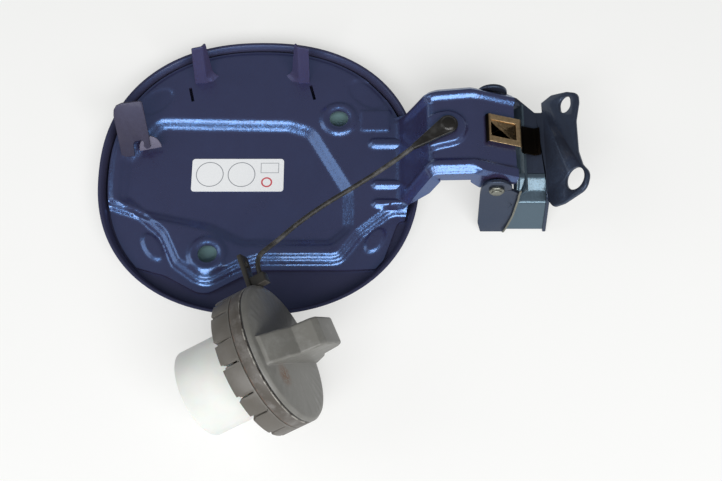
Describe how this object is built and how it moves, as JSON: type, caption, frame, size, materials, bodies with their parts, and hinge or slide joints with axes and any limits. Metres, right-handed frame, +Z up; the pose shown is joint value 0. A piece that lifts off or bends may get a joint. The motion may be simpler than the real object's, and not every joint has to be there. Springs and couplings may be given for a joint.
{
  "type": "fuel filler flap with tethered cap",
  "caption": "Painted car fuel filler flap with pressed inner panel, gooseneck hinge and bracket, and a tethered screw cap with grip bar and vent valve, lying open.",
  "frame": {"origin": "under the middle of the whole part without its cord, on the resting surface", "axes": "+X from the latch to the hinge, +Y away from the cap, +Z up from the resting surface"},
  "size_m": [0.2383, 0.216, 0.0668],
  "materials": {
    "navy_paint": "metallic",
    "zinc": "zinc plated",
    "yellow_zinc": "yellow zinc",
    "spring_wire": "drawn wire",
    "black_plastic": "moulded",
    "tether_plastic": "moulded, flexible",
    "white_plastic": "moulded",
    "seal_rubber": "moulded",
    "mastic": "cured",
    "label": "coated"
  },
  "bodies": {
    "flap": {"outer_skin": "navy_paint", "inner_panel": "navy_paint", "mastic_pads": "mastic", "label_plate": "label", "leaf_spring": "yellow_zinc", "tether_anchor": "tether_plastic", "tether_cord": "tether_plastic", "tether_ring": "tether_plastic"},
    "bracket": {"hinge_bracket": "navy_paint", "hinge_pin": "zinc", "pin_retainer": "zinc"},
    "grip": {"cap_cover": "black_plastic", "ratchet_ring": "black_plastic"},
    "stem": {"cap_stem": "white_plastic", "stem_seal": "seal_rubber", "stem_closure": "white_plastic", "vent_spring": "spring_wire"},
    "valve": {"vent_valve": "white_plastic", "vent_valve_seal": "seal_rubber"}
  },
  "joints": [
    {"name": "hinge", "type": "hinge", "parent": "flap", "child": "bracket", "pos_m": [0.07659, 0.0387, 0.028], "axis": [0, 1, 0], "range_deg": [-60, 40], "deforming": ["leaf_spring"]},
    {"name": "cap_turn", "type": "hinge", "parent": "flap", "child": "grip", "pos_m": [-0.06051, -0.0863, 0.01872], "axis": [0.8618, 0.3018, 0.4077], "continuous": true},
    {"name": "ratchet", "type": "hinge", "parent": "grip", "child": "stem", "pos_m": [-0.06051, -0.0863, 0.01872], "axis": [0.8618, 0.3018, 0.4077], "continuous": true},
    {"name": "vent", "type": "slide", "parent": "stem", "child": "valve", "axis": [-0.8618, -0.3018, -0.4077], "range_m": [0, 0.003], "stiffness_N_per_m": 200, "springref_m": -0.004, "deforming": ["vent_spring"]}
  ]
}
